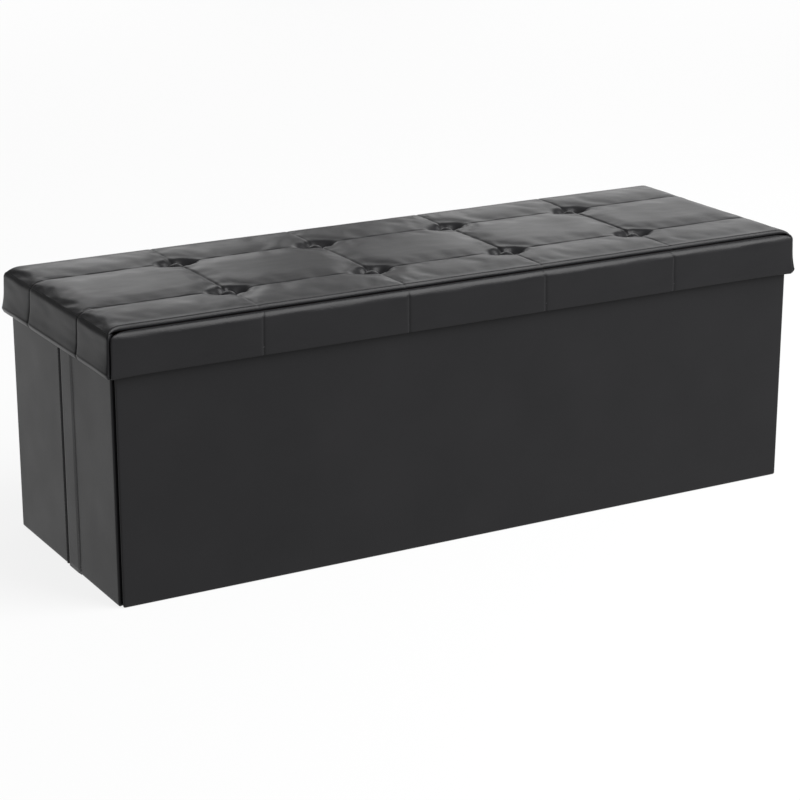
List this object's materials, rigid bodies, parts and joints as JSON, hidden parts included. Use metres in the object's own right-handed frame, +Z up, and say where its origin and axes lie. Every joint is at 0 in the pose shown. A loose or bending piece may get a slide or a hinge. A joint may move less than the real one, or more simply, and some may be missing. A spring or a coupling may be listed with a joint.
{
  "type": "storage ottoman",
  "caption": "Folding storage ottoman bench: lift-off button-tufted padded lid on a long faux-leather box whose creased ends, floor and front wall fold flat against the back.",
  "frame": {"origin": "on the floor under the middle of the closed ottoman", "axes": "+X along the length, -Y towards the front face, +Z up"},
  "size_m": [1.1, 0.38, 0.388],
  "materials": {
    "faux_leather": "satin",
    "lining_cloth": "matte",
    "fibreboard": "matte",
    "foam": "matte",
    "ribbon": "matte",
    "cord": "matte",
    "washer_plastic": "matte",
    "staple_steel": "satin"
  },
  "bodies": {
    "back": {"back_board": "fibreboard", "back_cover": "faux_leather", "back_lining": "lining_cloth", "left_rear_tape": "lining_cloth", "right_rear_tape": "lining_cloth", "floor_rear_tape": "lining_cloth", "floor_cloth": "lining_cloth"},
    "left_rear": {"left_rear_board": "fibreboard", "left_rear_cover": "faux_leather", "left_rear_lining": "lining_cloth", "left_crease_strip": "faux_leather"},
    "left_front": {"left_front_board": "fibreboard", "left_front_cover": "faux_leather", "left_front_lining": "lining_cloth"},
    "front": {"front_board": "fibreboard", "front_cover": "faux_leather", "front_lining": "lining_cloth", "left_front_tape": "lining_cloth", "right_front_tape": "lining_cloth", "floor_front_tape": "lining_cloth"},
    "right_rear": {"right_rear_board": "fibreboard", "right_rear_cover": "faux_leather", "right_rear_lining": "lining_cloth", "right_crease_strip": "faux_leather"},
    "right_front": {"right_front_board": "fibreboard", "right_front_cover": "faux_leather", "right_front_lining": "lining_cloth"},
    "floor_rear": {"floor_rear_board": "fibreboard", "floor_rear_lining": "lining_cloth", "floor_pull_loop": "ribbon"},
    "floor_front": {"floor_front_board": "fibreboard", "floor_front_lining": "lining_cloth"},
    "lid": {"lid_board": "fibreboard", "lid_lining": "lining_cloth", "lid_foam": "foam", "lid_top_cover": "faux_leather", "lid_front_skirt_board": "fibreboard", "lid_front_skirt_cover": "faux_leather", "lid_back_skirt_board": "fibreboard", "lid_back_skirt_cover": "faux_leather", "lid_left_skirt_board": "fibreboard", "lid_left_skirt_cover": "faux_leather", "lid_right_skirt_board": "fibreboard", "lid_right_skirt_cover": "faux_leather", "lid_staples": "staple_steel", "tuft_buttons": "faux_leather", "tuft_cords": "cord", "tuft_washers": "washer_plastic"}
  },
  "joints": [
    {"name": "end_fold", "type": "hinge", "parent": "back", "child": "left_rear", "pos_m": [-0.537, 0.1745, 0], "axis": [0, 0, -1], "range_deg": [-80, 0], "deforming": ["left_rear_tape", "floor_cloth"]},
    {"name": "left_crease", "type": "hinge", "parent": "left_rear", "child": "left_front", "pos_m": [-0.5435, 0, 0], "axis": [0, 0, -1], "range_deg": [0, 160], "deforming": ["left_crease_strip"]},
    {"name": "front_corner", "type": "hinge", "parent": "left_front", "child": "front", "pos_m": [-0.537, -0.1745, 0], "axis": [0, 0, -1], "range_deg": [-80, 0], "deforming": ["left_front_tape"]},
    {"name": "right_end_fold", "type": "hinge", "parent": "back", "child": "right_rear", "pos_m": [0.537, 0.1745, 0], "axis": [0, 0, 1], "range_deg": [-80, 0], "deforming": ["right_rear_tape"]},
    {"name": "right_crease", "type": "hinge", "parent": "right_rear", "child": "right_front", "pos_m": [0.5435, 0, 0], "axis": [0, 0, 1], "range_deg": [0, 160], "deforming": ["right_crease_strip", "right_front_tape"]},
    {"name": "floor_rear_fold", "type": "hinge", "parent": "back", "child": "floor_rear", "pos_m": [0, 0.1745, 0.0083], "axis": [1, 0, 0], "range_deg": [-80, 0], "deforming": ["floor_rear_tape"]},
    {"name": "floor_front_fold", "type": "hinge", "parent": "front", "child": "floor_front", "pos_m": [0, -0.1745, 0.0083], "axis": [-1, 0, 0], "range_deg": [-80, 0], "deforming": ["floor_front_tape"]},
    {"name": "lid_lift", "type": "slide", "parent": "back", "child": "lid", "axis": [0, 0, 1], "range_m": [0, 0.4]}
  ],
  "couplings": [
    {"joint": "left_crease", "follows": "end_fold", "ratio": -2},
    {"joint": "front_corner", "follows": "end_fold", "ratio": 1},
    {"joint": "right_end_fold", "follows": "end_fold", "ratio": 1},
    {"joint": "right_crease", "follows": "end_fold", "ratio": -2},
    {"joint": "floor_rear_fold", "follows": "end_fold", "ratio": 1},
    {"joint": "floor_front_fold", "follows": "end_fold", "ratio": 1}
  ]
}
